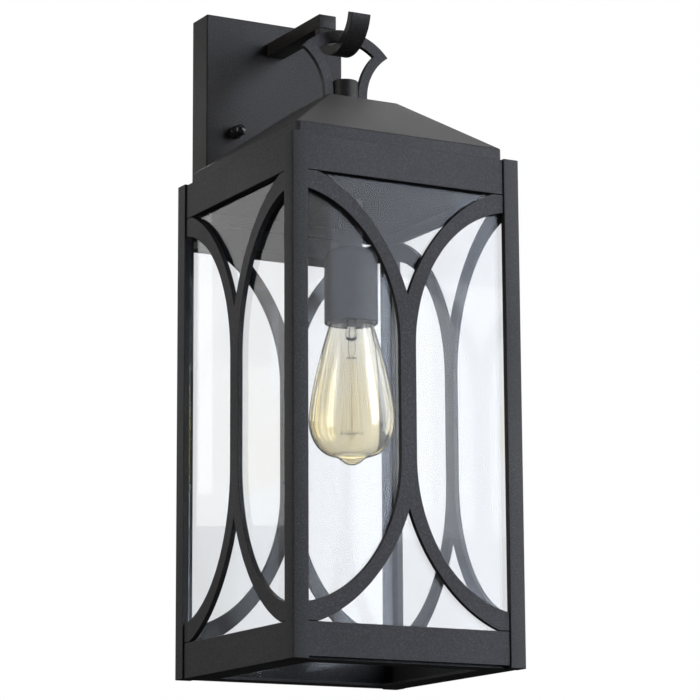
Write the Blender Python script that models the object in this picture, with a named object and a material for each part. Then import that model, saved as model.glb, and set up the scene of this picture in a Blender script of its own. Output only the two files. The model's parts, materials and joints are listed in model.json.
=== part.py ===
"""Outdoor wall lantern: a glazed square cage that hangs by a loop from a hook on a wall bracket.

Metres, +Z up. The origin is on the wall, behind the middle of the back plate, and the front faces -Y.
Heights of the lantern's own pieces are counted from the foot of its cage.
"""

import math

import bmesh
import bpy
from mathutils import Vector
from mathutils.geometry import interpolate_bezier

GAP = 0.0003  # between pieces that touch

# Where the lantern hangs
LANTERN_Y = -0.140
FOOT_Z = -0.4315
HOOK_BACK = 0.003  # from the lantern's axis back to the middle of the hook's ring
HOOK_CENTRE = 0.5000  # above the foot, as every height below

# Back plate and what holds it
PLATE_HALF_WIDTH = 0.060
PLATE_HALF_HEIGHT = 0.0935
PLATE_DEPTH = 0.025
PLATE_SHEET = 0.0015
STUD_X = 0.0352
STUD_RADIUS = 0.0021
CROSSBAR_HALF = (0.047, 0.010)
CROSSBAR_SHEET = 0.003
GROUND_SCREW_X = 0.0075
SLOT_X = 0.022

# Arm and hook
ARM_WIDTH = 0.015
ARM_HEIGHT = 0.011
ARM_BOTTOM = 0.4970
ARM_END_Y = -0.1130
HOOK_WIDTH = 0.016
HOOK_INNER = 0.0233
HOOK_OUTER = 0.0305

# Hanging loop, in the plane of the lantern's axis
LOOP_THICKNESS = 0.004
LOOP_TOP = 0.4401  # centre height of the top arcs
LOOP_TOP_OUTER = 0.0475
LOOP_TOP_INNER = 0.0385
LOOP_LEG = (0.0588, 0.4370)  # centre of the legs' hollow arcs
LOOP_LEG_OUTER = 0.0405
LOOP_LEG_INNER = 0.0482
LOOP_FOOT_HALF = (0.022, 0.012)
LOOP_FOOT_Z = (0.4273, 0.4303)
FINIAL_RADIUS = 0.0102
FINIAL_TOP = 0.4475
NIPPLE_RADIUS = 0.00475
ROOF_NIPPLE_Z = (0.4195, 0.4415)
STEM_NIPPLE_Z = (0.3063, 0.3625)
NUT_RADIUS = 0.0080  # to its corners
NUT_HEIGHT = 0.0040

# Roof and ceiling
ROOF_HALF = 0.0855
ROOF_SHEET = 0.0012
ROOF_CORNER = 0.003
SKIRT_Z = (0.3650, 0.3853)
ROOF_FLAT_HALF = 0.02975
ROOF_TOP = 0.4270
CEILING_HALF = 0.0852
CEILING_Z = 0.3560
CEILING_SHEET = 0.0012

# Cage
POST_OUTER = 0.0943
POST_LEG = 0.0127
POST_THICKNESS = 0.005
POST_HEIGHT = 0.3754
RAIL_OUTER = 0.0930
RAIL_THICKNESS = 0.004
TOP_RAIL_Z = (0.3481, 0.3746)
BOTTOM_RAIL_TOP = 0.0263
FRONT_RAIL_BOTTOM = 0.00175
RING_HALF = 0.0887
RING_OPENING = 0.070
RING_SHEET = 0.002
GLASS_OUTER = 0.0887
GLASS_THICKNESS = 0.003
GLASS_TOP = 0.3635

# Tracery: two upright half ovals, back to back, centred on the cage's corner lines
OVAL_STRAIGHT = 0.041  # half height of the straight middle
OVAL_INNER = (0.0878, 0.1073)
OVAL_OUTER = (0.1008, 0.1240)
OVAL_POWER = 1.795  # of the outer curve, a little fuller than a rhombus and flatter than an ellipse

# Socket and bulb
LAMP_X = 0.0042  # the lamp hangs this far to the right of the cage's middle
STEM_RADIUS = 0.0088
CUP_RADIUS = 0.0200
CUP_Z = (0.2610, 0.3170)
CUP_SHEET = 0.0015
CUP_SHOULDER = 0.006
HOLDER_Z = (0.2685, 0.3032)
SHELL_RADIUS = 0.0141
BASE_RADIUS = 0.0132
BASE_Z = (0.2680, 0.2950)
BULB_RADIUS = 0.0320
BULB_WIDEST = 0.1870
BULB_TIP = 0.1545
BULB_GLASS = 0.0007
HOOKS_Z = (0.1776, 0.2347)
FILAMENT_RADII = (0.0090, 0.0040)  # at the lower and the upper hooks
FILAMENT_STRANDS = 8
ROD_RADIUS = 0.0006
PRESS_Z = 0.2480  # lower end of the glass mount

ROUND_STEPS = 24
CORNER_STEPS = 3  # a rounded corner's straight pieces


def clear_scene():
    for obj in list(bpy.data.objects):
        bpy.data.objects.remove(obj, do_unlink=True)


def material(name, colour, roughness, metallic=0.0, transmission=0.0):
    made = bpy.data.materials.new(name)
    made.use_nodes = True
    shader = made.node_tree.nodes["Principled BSDF"]
    shader.inputs["Base Color"].default_value = (*colour, 1.0)
    shader.inputs["Roughness"].default_value = roughness
    shader.inputs["Metallic"].default_value = metallic
    shader.inputs["Transmission Weight"].default_value = transmission
    made.diffuse_color = (*colour, 1.0)
    return made


# Where a profile's (u, v, w) goes: w runs up, out from the wall, or to the right


def upwards(u, v, w):
    return (u, v, w)


def outwards(u, v, w):
    return (u, -w, v)


def sideways(u, v, w):
    return (w, u, v)


def circle(radius, steps=ROUND_STEPS):
    angles = [math.tau * (i + 0.5) / steps for i in range(steps)]
    return [(radius * math.cos(a), radius * math.sin(a)) for a in angles]


def rectangle(half_u, half_v, corner, steps=CORNER_STEPS):
    """A rounded rectangle with as many points as circle(r, 4 * (steps + 1))."""
    points = []
    for quarter in range(4):
        turn = quarter * math.pi / 2
        middle = turn + math.pi / 4
        centre_u = math.copysign(half_u - corner, math.cos(middle))
        centre_v = math.copysign(half_v - corner, math.sin(middle))
        for i in range(steps + 1):
            angle = turn + i * math.pi / 2 / steps
            points.append((centre_u + corner * math.cos(angle), centre_v + corner * math.sin(angle)))
    return points


def square(half, corner):
    return rectangle(half, half, corner)


def square_hole(radius):
    """A round hole with as many points as square()."""
    return circle(radius, 4 * (CORNER_STEPS + 1))


def arc(centre, radius, start, end, steps):
    """Points round an arc, both ends included; a full turn is tau."""
    angles = [start + (end - start) * i / steps for i in range(steps + 1)]
    return [(centre[0] + radius * math.cos(a), centre[1] + radius * math.sin(a)) for a in angles]


def bezier(points, steps):
    """Points along one Bezier stretch of (radius, height) points, both ends included."""
    flat = [(r, z, 0.0) for r, z in points]
    start, start_handle, end_handle, end = flat
    found = interpolate_bezier(start, start_handle, end_handle, end, steps + 1)
    return [(p[0], p[1]) for p in found]


def add_mesh(name, bm, look, parent, smooth):
    bmesh.ops.recalc_face_normals(bm, faces=bm.faces)
    mesh = bpy.data.meshes.new(name)
    bm.to_mesh(mesh)
    bm.free()
    mesh.materials.append(look)
    if smooth:
        mesh.shade_smooth()
        mesh.set_sharp_from_angle(angle=math.radians(35))
    obj = bpy.data.objects.new(name, mesh)
    bpy.context.scene.collection.objects.link(obj)
    obj.parent = parent
    return obj


def loft(name, rings, look, axis=upwards, parent=None, closed=False, smooth=True):
    """A solid through rings of (outline, height). A closed one joins its last ring to its first."""
    bm = bmesh.new()
    loops = [[bm.verts.new(axis(u, v, w)) for u, v in outline] for outline, w in rings]
    following = loops[1:] + loops[:1] if closed else loops[1:]
    for lower, upper in zip(loops, following):
        for i, corner in enumerate(lower):
            j = (i + 1) % len(lower)
            bm.faces.new((corner, lower[j], upper[j], upper[i]))
    if not closed:
        bm.faces.new(loops[0])
        bm.faces.new(loops[-1])
    return add_mesh(name, bm, look, parent, smooth)


def turned(name, profile, look, axis=upwards, parent=None, closed=False, steps=ROUND_STEPS):
    """A solid turned from (radius, height) points."""
    rings = [(circle(radius, steps), w) for radius, w in profile]
    return loft(name, rings, look, axis, parent, closed)


def plate(name, outline, low, high, look, axis=upwards, parent=None):
    """A flat piece of any outline."""
    return loft(name, [(outline, low), (outline, high)], look, axis, parent, smooth=False)


def tube(name, points, radius, look, parent):
    """A wire through (x, y, z) points."""
    curve = bpy.data.curves.new(name, "CURVE")
    curve.dimensions = "3D"
    curve.bevel_depth = radius
    curve.bevel_resolution = 1
    curve.use_fill_caps = True
    curve.materials.append(look)
    spline = curve.splines.new("POLY")
    spline.points.add(len(points) - 1)
    for spot, point in zip(spline.points, points):
        spot.co = (*point, 1.0)
    obj = bpy.data.objects.new(name, curve)
    bpy.context.scene.collection.objects.link(obj)
    obj.parent = parent
    return obj


def soften(obj, width, segments=2):
    bevel = obj.modifiers.new("soft_edges", "BEVEL")
    bevel.width = width
    bevel.segments = segments
    bevel.limit_method = "ANGLE"
    bevel.angle_limit = math.radians(40)


def cut(obj, cutter):
    cutter.hide_render = True
    cutter.display_type = "WIRE"
    taken = obj.modifiers.new(cutter.name, "BOOLEAN")
    taken.operation = "DIFFERENCE"
    taken.object = cutter


def drill(obj, name, x, z, radius, near, far, parent=None):
    """Cuts a round hole along Y, from near to far metres out from the wall."""
    cutter = turned(name, [(radius, near), (radius, far)], obj.data.materials[0], outwards, parent)
    cutter.location.x = x
    cutter.location.z = z
    cut(obj, cutter)


def empty(name, location, parent=None):
    made = bpy.data.objects.new(name, None)
    bpy.context.scene.collection.objects.link(made)
    made.parent = parent
    made.location = location
    return made


# Wall bracket


def make_back_plate(black):
    """A pan pressed from sheet, open towards the wall."""
    inside = PLATE_SHEET
    half_x, half_z, depth = PLATE_HALF_WIDTH, PLATE_HALF_HEIGHT, PLATE_DEPTH
    edge = 0.0012
    rings = [
        (rectangle(half_x - edge, half_z - edge, 0.0012), depth),
        (rectangle(half_x - edge * 0.3, half_z - edge * 0.3, 0.0018), depth - edge * 0.3),
        (rectangle(half_x, half_z, 0.002), depth - edge),
        (rectangle(half_x, half_z, 0.002), 0.0),
        (rectangle(half_x - inside, half_z - inside, 0.001), 0.0),
        (rectangle(half_x - inside, half_z - inside, 0.001), depth - inside),
    ]
    pan = loft("back_plate", rings, black, outwards)
    hole = STUD_RADIUS + GAP
    for side, x in (("left", -STUD_X), ("right", STUD_X)):
        drill(pan, f"plate_hole_{side}", x, 0.0, hole, PLATE_DEPTH - 0.005, PLATE_DEPTH + 0.005)
    drill(pan, "plate_hole_arm", 0.0, arm_middle(), hole, PLATE_DEPTH - 0.005, PLATE_DEPTH + 0.005)


def make_crossbar(steel):
    bar = plate("wall_crossbar", rectangle(*CROSSBAR_HALF, 0.002), 0.0, CROSSBAR_SHEET, steel, outwards)
    past = 0.002
    for side, sign in (("left", -1), ("right", 1)):
        hole = STUD_RADIUS + GAP
        drill(bar, f"crossbar_hole_{side}", sign * STUD_X, 0.0, hole, -past, CROSSBAR_SHEET + past)
        slot = plate(
            f"crossbar_slot_{side}",
            rectangle(0.007, 0.0023, 0.00229),
            -past,
            CROSSBAR_SHEET + past,
            steel,
            outwards,
        )
        slot.location.x = sign * SLOT_X
        cut(bar, slot)
    drill(bar, "crossbar_hole_ground", GROUND_SCREW_X, 0.0, 0.0021, -past, CROSSBAR_SHEET + past)


def make_fasteners(steel, green, black):
    stud_end = PLATE_DEPTH + 0.0085
    nut_low = CROSSBAR_SHEET + GAP
    bore = STUD_RADIUS + GAP
    for side, x in (("left", -STUD_X), ("right", STUD_X)):
        stud = turned(
            f"mounting_stud_{side}",
            [(STUD_RADIUS, GAP), (STUD_RADIUS, stud_end - 0.0005), (STUD_RADIUS * 0.8, stud_end)],
            steel,
            outwards,
            steps=16,
        )
        nut = loft(
            f"stud_nut_{side}",
            [(circle(r, 6), w) for r, w in ((bore, nut_low), (0.0046, nut_low))]
            + [(circle(r, 6), w) for r, w in ((0.0046, nut_low + 0.003), (bore * 1.16, nut_low + 0.003))],
            steel,
            outwards,
            closed=True,
            smooth=False,
        )
        for obj in (stud, nut):
            obj.location.x = x
    drive = [(0.0018, GAP), (0.0018, nut_low), (0.0040, nut_low), (0.0040, nut_low + 0.0014)]
    screw = turned("ground_screw", drive + [(0.0031, nut_low + 0.0022)], green, outwards, steps=16)
    screw.location.x = GROUND_SCREW_X
    make_cap_nuts(black, bore)


def make_cap_nuts(black, bore):
    """A round cap nut on each stud: a collar at the plate, a waist line, and a domed barrel."""
    seat = PLATE_DEPTH + GAP
    end = seat + 0.0130
    dome = arc((0.0, end - 0.0048), 0.0048, 0.0, math.radians(75), 4)
    profile = [(bore, seat + 0.0092), (bore, seat), (0.0053, seat), (0.0053, seat + 0.0040)]
    profile += [(0.0045, seat + 0.0044), (0.0045, seat + 0.0052), (0.0048, seat + 0.0056)]
    profile += dome + [(0.0006, end)]
    for side, x in (("left", -STUD_X), ("right", STUD_X)):
        nut = turned(f"cap_nut_{side}", profile, black, outwards, steps=20)
        nut.location.x = x


def arm_middle():
    """Height of the arm's middle above the origin."""
    return FOOT_Z + ARM_BOTTOM + ARM_HEIGHT / 2


def make_arm(black, steel):
    near = PLATE_DEPTH + GAP
    bar = plate(
        "arm",
        [(-ARM_WIDTH / 2, -ARM_HEIGHT / 2), (ARM_WIDTH / 2, -ARM_HEIGHT / 2)]
        + [(ARM_WIDTH / 2, ARM_HEIGHT / 2), (-ARM_WIDTH / 2, ARM_HEIGHT / 2)],
        near,
        -ARM_END_Y,
        black,
        outwards,
    )
    bar.location.z = arm_middle()
    bore = STUD_RADIUS + GAP
    drill(bar, "arm_bore", 0.0, arm_middle(), bore, near - 0.002, near + 0.014)
    soften(bar, 0.0006)
    head = PLATE_DEPTH - PLATE_SHEET - GAP
    profile = [(0.0034, head - 0.0034), (0.0044, head - 0.0028), (0.0044, head), (STUD_RADIUS, head)]
    profile += [(STUD_RADIUS, near + 0.0125), (STUD_RADIUS * 0.8, near + 0.0130)]
    screw = turned("arm_screw", profile, steel, outwards, steps=16)
    screw.location.z = arm_middle()


def make_hook(black):
    """A strap bent to a half ring, under the arm's end and open at the top in front."""
    below = HOOK_CENTRE - ARM_BOTTOM + GAP
    outer_tip, inner_tip = math.radians(-169), math.radians(-171.5)
    outer = arc((0.0, 0.0), HOOK_OUTER, -math.asin(below / HOOK_OUTER), outer_tip, 24)
    inner = arc((0.0, 0.0), HOOK_INNER, inner_tip, -math.asin(below / HOOK_INNER), 24)
    strap = plate("hook", outer + inner, -HOOK_WIDTH / 2, HOOK_WIDTH / 2, black, sideways)
    strap.location = (0.0, LANTERN_Y + HOOK_BACK, FOOT_Z + HOOK_CENTRE)
    soften(strap, 0.0005, 1)


# Lantern: hanging pieces and roof


def circles_cross(first, first_radius, second, second_radius):
    """The upper crossing point of two circles in a plane."""
    du, dv = second[0] - first[0], second[1] - first[1]
    apart = math.hypot(du, dv)
    along = (first_radius**2 - second_radius**2 + apart**2) / (2 * apart)
    across = math.sqrt(first_radius**2 - along**2)
    return (
        first[0] + (along * du - across * dv) / apart,
        first[1] + (along * dv + across * du) / apart,
    )


def loop_side(top_radius, leg_radius):
    """Half of the loop's outline, from the top's middle down the right leg to the foot."""
    top = (0.0, LOOP_TOP)
    corner = circles_cross(top, top_radius, LOOP_LEG, leg_radius)
    turn = math.atan2(corner[1] - top[1], corner[0])
    shoulder = math.atan2(corner[1] - LOOP_LEG[1], corner[0] - LOOP_LEG[0])
    points = arc(top, top_radius, math.pi / 2, turn, 9)
    points += arc(LOOP_LEG, leg_radius, shoulder, math.pi, 10)[1:]
    points.append((LOOP_LEG[0] - leg_radius, LOOP_FOOT_Z[1] + GAP))
    return points


def make_loop(black, lantern):
    outer = loop_side(LOOP_TOP_OUTER, LOOP_LEG_OUTER)
    inner = loop_side(LOOP_TOP_INNER, LOOP_LEG_INNER)
    left_outer = [(-x, z) for x, z in outer[1:]]
    left_inner = [(-x, z) for x, z in inner[1:]]
    outline = left_outer[::-1] + outer + inner[::-1] + left_inner
    half = LOOP_THICKNESS / 2
    plate("hanging_loop", outline, -half, half, black, outwards, lantern)
    rings = [
        (square_hole(NIPPLE_RADIUS + GAP), LOOP_FOOT_Z[0]),
        (rectangle(*LOOP_FOOT_HALF, 0.002), LOOP_FOOT_Z[0]),
        (rectangle(*LOOP_FOOT_HALF, 0.002), LOOP_FOOT_Z[1]),
        (square_hole(NIPPLE_RADIUS + GAP), LOOP_FOOT_Z[1]),
    ]
    loft("loop_foot", rings, black, parent=lantern, closed=True, smooth=False)


def nipple(name, low, high, steel, parent):
    """A threaded pipe, drawn plain."""
    inner = NIPPLE_RADIUS - 0.0014
    profile = [(inner, low), (NIPPLE_RADIUS, low), (NIPPLE_RADIUS, high), (inner, high)]
    turned(name, profile, steel, parent=parent, closed=True, steps=16)


def nipple_nut(name, low, steel, parent):
    bore = (NIPPLE_RADIUS + GAP) / math.cos(math.pi / 6)
    shape = [(bore, low), (NUT_RADIUS, low), (NUT_RADIUS, low + NUT_HEIGHT), (bore, low + NUT_HEIGHT)]
    rings = [(circle(radius, 6), z) for radius, z in shape]
    loft(name, rings, steel, parent=parent, closed=True, smooth=False)


def make_finial(black, steel, lantern):
    """The finial and its nipple clamp the loop's foot on the roof."""
    bore = NIPPLE_RADIUS + GAP
    low = LOOP_FOOT_Z[1] + GAP
    profile = [(bore, ROOF_NIPPLE_Z[1] + GAP), (bore, low), (FINIAL_RADIUS, low)]
    profile += [(FINIAL_RADIUS, FINIAL_TOP - 0.0007), (FINIAL_RADIUS - 0.0007, FINIAL_TOP)]
    turned("finial_nut", profile, black, parent=lantern)
    nipple("roof_nipple", *ROOF_NIPPLE_Z, steel, lantern)
    nipple_nut("roof_nipple_nut", ROOF_TOP - ROOF_SHEET - GAP - NUT_HEIGHT, steel, lantern)


def make_roof(black, lantern):
    """A sheet roof with an upright skirt, four slopes and a flat top with a hole for the nipple."""
    slope = math.atan2(ROOF_TOP - SKIRT_Z[1], ROOF_HALF - ROOF_FLAT_HALF)
    bend = 0.004  # radius of the bend at the skirt's top
    eave_run = bend * math.tan((math.pi / 2 - slope) / 2)
    eave = arc((ROOF_HALF - bend, SKIRT_Z[1] - eave_run), bend, 0.0, math.pi / 2 - slope, 3)
    crown_run = bend * math.tan(slope / 2)
    crown_centre = (ROOF_FLAT_HALF - crown_run, ROOF_TOP - bend)
    crown = arc(crown_centre, bend, math.pi / 2 - slope, math.pi / 2, 3)
    hole = NIPPLE_RADIUS + GAP
    inner_drop = ROOF_SHEET * math.tan((math.pi / 2 - slope) / 2)
    inner_half = ROOF_HALF - ROOF_SHEET
    flat_half = ROOF_FLAT_HALF - ROOF_SHEET * math.tan(slope / 2)
    outside = [(ROOF_HALF, SKIRT_Z[0])] + eave + crown
    rings = [(square(half, ROOF_CORNER), z) for half, z in outside]
    rings += [(square_hole(hole), ROOF_TOP), (square_hole(hole), ROOF_TOP - ROOF_SHEET)]
    rings += [
        (square(flat_half, ROOF_CORNER), ROOF_TOP - ROOF_SHEET),
        (square(inner_half, ROOF_CORNER), SKIRT_Z[1] - inner_drop),
        (square(inner_half, ROOF_CORNER), SKIRT_Z[0]),
    ]
    loft("roof", rings, black, parent=lantern, closed=True)


def make_ceiling(black, lantern):
    """A tray that closes the cage's top, its edge turned up under the roof's skirt."""
    hole = [(u + LAMP_X, v) for u, v in square_hole(NIPPLE_RADIUS + GAP)]
    inner_half = CEILING_HALF - CEILING_SHEET
    floor = CEILING_Z + CEILING_SHEET
    rings = [
        (hole, CEILING_Z),
        (square(CEILING_HALF, 0.002), CEILING_Z),
        (square(CEILING_HALF, 0.002), SKIRT_Z[0] - GAP),
        (square(inner_half, 0.001), SKIRT_Z[0] - GAP),
        (square(inner_half, 0.001), floor),
        (hole, floor),
    ]
    loft("ceiling_plate", rings, black, parent=lantern, closed=True, smooth=False)


# Lantern: cage


def quarter_turns(obj, names):
    """Names obj for the first side and adds a copy, a quarter turn on, for each other name."""
    obj.name = names[0]
    for i, name in enumerate(names[1:], 1):
        copy = bpy.data.objects.new(name, obj.data)
        bpy.context.scene.collection.objects.link(copy)
        copy.parent = obj.parent
        copy.rotation_euler.z = obj.rotation_euler.z + i * math.pi / 2


SIDES = ("front", "right", "back", "left")
CORNERS = ("back_right", "back_left", "front_left", "front_right")


def make_posts(black, lantern):
    leg = POST_OUTER - POST_LEG
    inside = POST_OUTER - POST_THICKNESS
    edge = 0.0012
    outline = [(leg, POST_OUTER), (leg, inside), (inside, inside), (inside, leg), (POST_OUTER, leg)]
    outline += arc((POST_OUTER - edge, POST_OUTER - edge), edge, 0.0, math.pi / 2, 3)
    post = plate("post", outline, 0.0, POST_HEIGHT, black, upwards, lantern)
    quarter_turns(post, [f"post_{corner}" for corner in CORNERS])


def rail(name, low, high, black, lantern):
    half = POST_OUTER - POST_LEG - GAP
    outline = [(-half, low), (half, low), (half, high), (-half, high)]
    return plate(name, outline, RAIL_OUTER - RAIL_THICKNESS, RAIL_OUTER, black, outwards, lantern)


def make_rails(black, lantern):
    quarter_turns(rail("rail", *TOP_RAIL_Z, black, lantern), [f"top_rail_{side}" for side in SIDES])
    for i, side in enumerate(SIDES):
        low = FRONT_RAIL_BOTTOM if side in ("front", "back") else 0.0
        made = rail(f"bottom_rail_{side}", low, BOTTOM_RAIL_TOP, black, lantern)
        made.rotation_euler.z = i * math.pi / 2


def tracery_quarter():
    """The upper right quarter of the tracery's outline, from the bar out and back to the crotch."""
    middle = (TOP_RAIL_Z[0] + BOTTOM_RAIL_TOP) / 2
    side = POST_OUTER - POST_LEG - GAP
    top = TOP_RAIL_Z[0] - GAP - middle
    steps = 18
    last = math.acos((POST_OUTER - side) / OVAL_INNER[0])
    inner = []
    for i in range(steps + 1):
        turn = last * i / steps
        x = POST_OUTER - OVAL_INNER[0] * math.cos(turn)
        inner.append((x, OVAL_STRAIGHT + OVAL_INNER[1] * math.sin(turn)))
    # The outer curve: |x / a| ** n + |h / b| ** n = 1
    at_rail = math.asin(((top - OVAL_STRAIGHT) / OVAL_OUTER[1]) ** (OVAL_POWER / 2))
    at_crotch = math.acos((POST_OUTER / OVAL_OUTER[0]) ** (OVAL_POWER / 2))
    outer = []
    for i in range(steps + 1):
        turn = at_rail + (at_crotch - at_rail) * i / steps
        x = POST_OUTER - OVAL_OUTER[0] * math.cos(turn) ** (2 / OVAL_POWER)
        outer.append((x, OVAL_STRAIGHT + OVAL_OUTER[1] * math.sin(turn) ** (2 / OVAL_POWER)))
    outer[-1] = (0.0, outer[-1][1])
    return inner + [(side, top)] + outer, middle


def make_tracery(black, lantern):
    quarter, middle = tracery_quarter()
    upper = quarter + [(-x, h) for x, h in quarter[-2::-1]]
    outline = upper + [(-x, -h) for x, h in upper]
    outline = [(x, h + middle) for x, h in outline]
    panel = plate("panel", outline, RAIL_OUTER - RAIL_THICKNESS, RAIL_OUTER, black, outwards, lantern)
    quarter_turns(panel, [f"tracery_{side}" for side in SIDES])


def make_glass(glass, lantern):
    low = RING_SHEET + GAP
    inner = GLASS_OUTER - GLASS_THICKNESS
    for i, side in enumerate(SIDES):
        half = (GLASS_OUTER if side in ("front", "back") else inner) - GAP
        outline = [(-half, low), (half, low), (half, GLASS_TOP), (-half, GLASS_TOP)]
        pane = plate(f"glass_{side}", outline, inner, GLASS_OUTER, glass, outwards, lantern)
        pane.rotation_euler.z = i * math.pi / 2


def make_bottom_ring(black, lantern):
    rings = [(square(RING_OPENING, 0.002), 0.0), (square(RING_HALF, 0.001), 0.0)]
    rings += [(square(RING_HALF, 0.001), RING_SHEET), (square(RING_OPENING, 0.002), RING_SHEET)]
    loft("bottom_ring", rings, black, parent=lantern, closed=True, smooth=False)


# Lantern: lamp


def make_stem(black, steel, lamp):
    """The tube from the ceiling down to the socket cup, and the nipple and nuts that hold it."""
    bore = NIPPLE_RADIUS + GAP
    low, high = CUP_Z[1] + GAP, CEILING_Z - GAP
    profile = [(bore, low), (STEM_RADIUS, low), (STEM_RADIUS, high), (bore, high)]
    turned("stem_tube", profile, black, parent=lamp, closed=True)
    nipple("stem_nipple", *STEM_NIPPLE_Z, steel, lamp)
    nipple_nut("stem_nut_upper", CEILING_Z + CEILING_SHEET + GAP, steel, lamp)
    nipple_nut("stem_nut_lower", CUP_Z[1] - CUP_SHEET - GAP - NUT_HEIGHT, steel, lamp)


def make_socket(black, ceramic, brass, lamp):
    hole = NIPPLE_RADIUS + GAP
    shoulder = arc((CUP_RADIUS - CUP_SHOULDER, CUP_Z[1] - CUP_SHOULDER), CUP_SHOULDER, 0.0, math.pi / 2, 4)
    inner = CUP_RADIUS - CUP_SHEET
    under = CUP_Z[1] - CUP_SHEET
    soft = CUP_SHOULDER - CUP_SHEET
    profile = [(inner, CUP_Z[0]), (CUP_RADIUS - 0.0006, CUP_Z[0]), (CUP_RADIUS, CUP_Z[0] + 0.0006)]
    profile += shoulder + [(hole, CUP_Z[1]), (hole, under)]
    profile += arc((inner - soft, under - soft), soft, math.pi / 2, 0.0, 3)
    turned("socket_cup", profile, black, parent=lamp, closed=True)
    outer = inner - GAP * 3
    bore = SHELL_RADIUS + GAP
    roof = HOLDER_Z[1] - 0.0045
    profile = [(bore, roof), (bore, HOLDER_Z[0]), (outer, HOLDER_Z[0]), (outer, HOLDER_Z[1] - 0.002)]
    turned("lampholder", profile + [(outer - 0.002, HOLDER_Z[1])], ceramic, parent=lamp)
    thin = SHELL_RADIUS - 0.0005
    low, high = HOLDER_Z[0] + 0.001, roof - 0.004
    profile = [(thin, low), (SHELL_RADIUS, low), (SHELL_RADIUS, high), (thin, high)]
    turned("screw_shell", profile, brass, parent=lamp, closed=True)
    contact = [(0.004, roof - 0.0022), (0.005, roof - 0.0018), (0.005, roof - GAP)]
    turned("centre_contact", contact, brass, parent=lamp, steps=12)


# Bulb


def bulb_profile():
    """(radius, height) along the glass from its tip up to its neck."""
    tip = [(0.0008, BULB_TIP), (0.0070, BULB_TIP), (0.0100, 0.1612), (0.0130, 0.1612)]
    belly = [(0.0130, 0.1612), (0.0250, 0.1618), (BULB_RADIUS, 0.1760), (BULB_RADIUS, BULB_WIDEST)]
    cone = [(BULB_RADIUS, BULB_WIDEST), (BULB_RADIUS, 0.2050), (0.0213, 0.2460), (0.0158, 0.2620)]
    neck = [(0.0124, BASE_Z[0] - GAP), (0.0124, BASE_Z[0] + 0.0040)]
    return bezier(tip, 4) + bezier(belly, 5)[1:] + bezier(cone, 6)[1:] + neck


def make_bulb_glass(amber, lamp):
    """The inside follows the outside, one wall thickness in."""
    outside = bulb_profile()
    inside = []
    for i, (radius, height) in enumerate(outside):
        before = outside[max(i - 1, 0)]
        after = outside[min(i + 1, len(outside) - 1)]
        run = Vector((after[0] - before[0], after[1] - before[1])).normalized()
        inside.append((radius - BULB_GLASS * run.y, height + BULB_GLASS * run.x))
    turned("bulb_glass", outside + inside[::-1], amber, parent=lamp)


def make_bulb_base(brass, lamp):
    """A screw base, drawn as plain turned ridges, open below for the glass."""
    ridges = 4
    pitch = 0.0040
    start = BASE_Z[0] + 0.0030
    wall = 0.0005
    profile = [(BASE_RADIUS - wall, BASE_Z[1] - 0.005), (BASE_RADIUS - wall, BASE_Z[0])]
    profile += [(BASE_RADIUS, BASE_Z[0])]
    for i in range(ridges):
        profile.append((BASE_RADIUS - 0.0002, start + i * pitch))
        profile.append((BASE_RADIUS, start + (i + 0.5) * pitch))
    profile += [(BASE_RADIUS - 0.0002, start + ridges * pitch), (0.0060, BASE_Z[1])]
    turned("bulb_base", profile, brass, parent=lamp)
    contact = [(0.0045, BASE_Z[1] + GAP), (0.0045, BASE_Z[1] + 0.0008), (0.0030, BASE_Z[1] + 0.0014)]
    turned("bulb_contact", contact, brass, parent=lamp, steps=12)


def make_hooks(name, radius, z, wire, lamp):
    """A hub on the centre rod with a spoke out to each of the filament's bends."""
    hub = 0.0016
    half = 0.00025
    thickness = 0.0008
    outline = []
    for i in range(FILAMENT_STRANDS):
        turn = math.tau * i / FILAMENT_STRANDS
        for out, across in ((hub, -half), (radius + 0.0005, -half), (radius + 0.0005, half), (hub, half)):
            x = out * math.cos(turn) - across * math.sin(turn)
            y = out * math.sin(turn) + across * math.cos(turn)
            outline.append((x, y))
    hooks = plate(name, outline, z, z + thickness, wire, upwards, lamp)
    bore = ROD_RADIUS + GAP
    cut(hooks, turned(f"{name}_bore", [(bore, z - 0.001), (bore, z + 0.002)], wire, parent=lamp, steps=12))


def make_bulb_inside(clear, wire, lamp):
    """The glass mount, its two lead wires, the centre rod, two levels of hooks and the filament."""
    mount = [(0.0030, PRESS_Z), (0.0046, PRESS_Z + 0.0010), (0.0046, PRESS_Z + 0.0060)]
    mount += [(0.0030, PRESS_Z + 0.0090), (0.0034, 0.2640), (0.0075, 0.2690)]
    turned("bulb_mount", mount, clear, parent=lamp, steps=16)
    low, high = HOOKS_Z
    rod = [(ROD_RADIUS, low - 0.0040), (ROD_RADIUS, PRESS_Z - GAP)]
    turned("filament_rod", rod, clear, parent=lamp, steps=8)
    wide, narrow = FILAMENT_RADII
    make_hooks("filament_hooks_lower", wide, low, wire, lamp)
    make_hooks("filament_hooks_upper", narrow, high, wire, lamp)
    points = []
    for i in range(FILAMENT_STRANDS):
        turn = math.tau * i / FILAMENT_STRANDS
        ends = [(wide, low + 0.0014), (narrow, high - 0.0006)]
        for radius, z in ends if i % 2 == 0 else ends[::-1]:
            points.append((radius * math.cos(turn), radius * math.sin(turn), z))
    tube("filament", points, 0.0002, wire, lamp)
    for side, sign in (("left", -1), ("right", 1)):
        route = [(sign * 0.0024, 0.0, PRESS_Z - GAP), (sign * 0.0026, 0.0, PRESS_Z - 0.004)]
        route += [(sign * 0.0022, 0.0, high + 0.0013)]
        tube(f"lead_wire_{side}", route, 0.0003, wire, lamp)


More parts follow.
